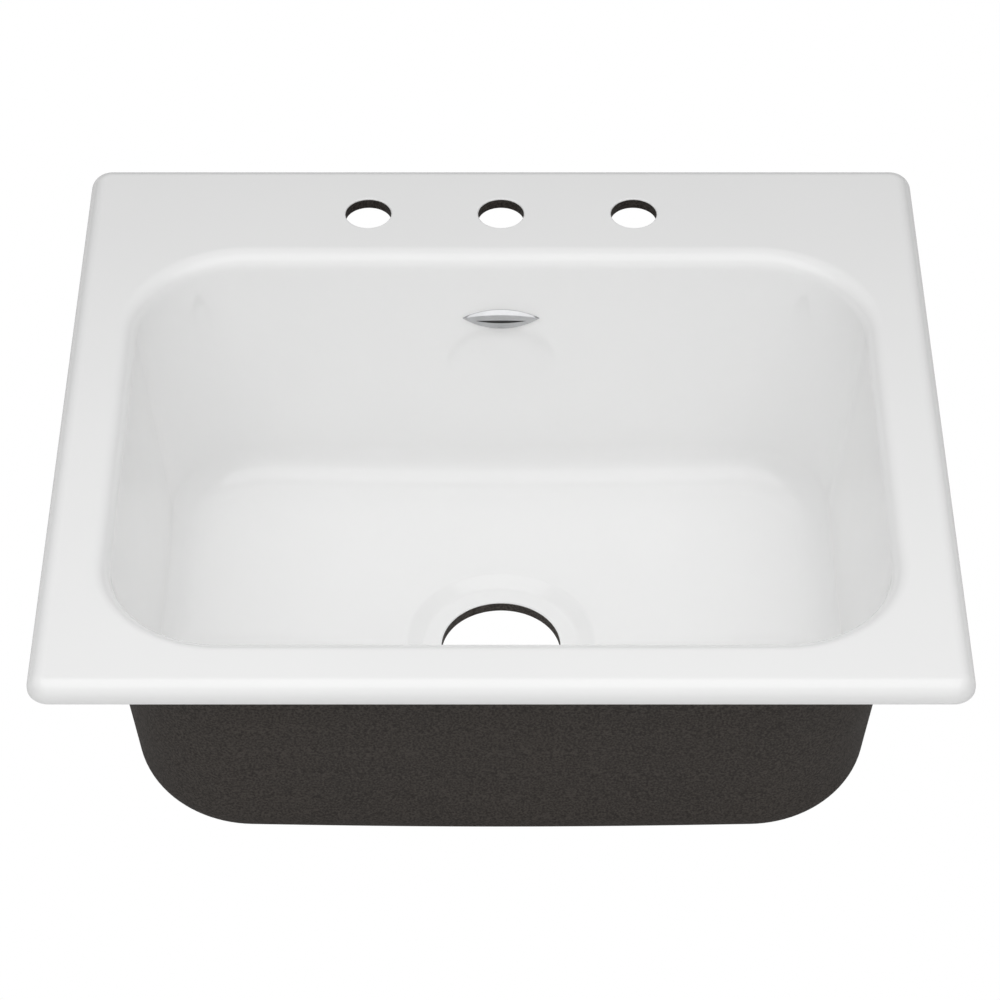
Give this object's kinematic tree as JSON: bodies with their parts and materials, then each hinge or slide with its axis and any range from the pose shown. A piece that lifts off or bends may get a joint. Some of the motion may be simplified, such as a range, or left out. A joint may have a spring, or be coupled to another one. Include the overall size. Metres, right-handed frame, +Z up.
{
  "type": "single bowl drop-in sink",
  "caption": "Drop-in enamelled cast-iron kitchen sink: rolled rim, tap ledge with round holes, one deep bowl with a dished round outlet, small lens-shaped badge.",
  "frame": {"origin": "under the middle of the rim rectangle, on the plane the outlet's boss stands on", "axes": "+Z up, +X to the user's right along the front, +Y towards the tap ledge at the back"},
  "size_m": [0.635, 0.5588, 0.2286],
  "materials": {
    "bare_iron": "as-cast, dark coated",
    "enamel": "gloss white vitreous enamel",
    "badge_chrome": "polished",
    "badge_inlay": "gloss black fill",
    "badge_pad": "foam tape"
  },
  "bodies": {
    "root": {"cast_iron_body": "bare_iron", "enamel_coat": "enamel", "badge_plate": "badge_chrome", "badge_inlay": "badge_inlay", "badge_adhesive_pad": "badge_pad"}
  },
  "joints": []
}
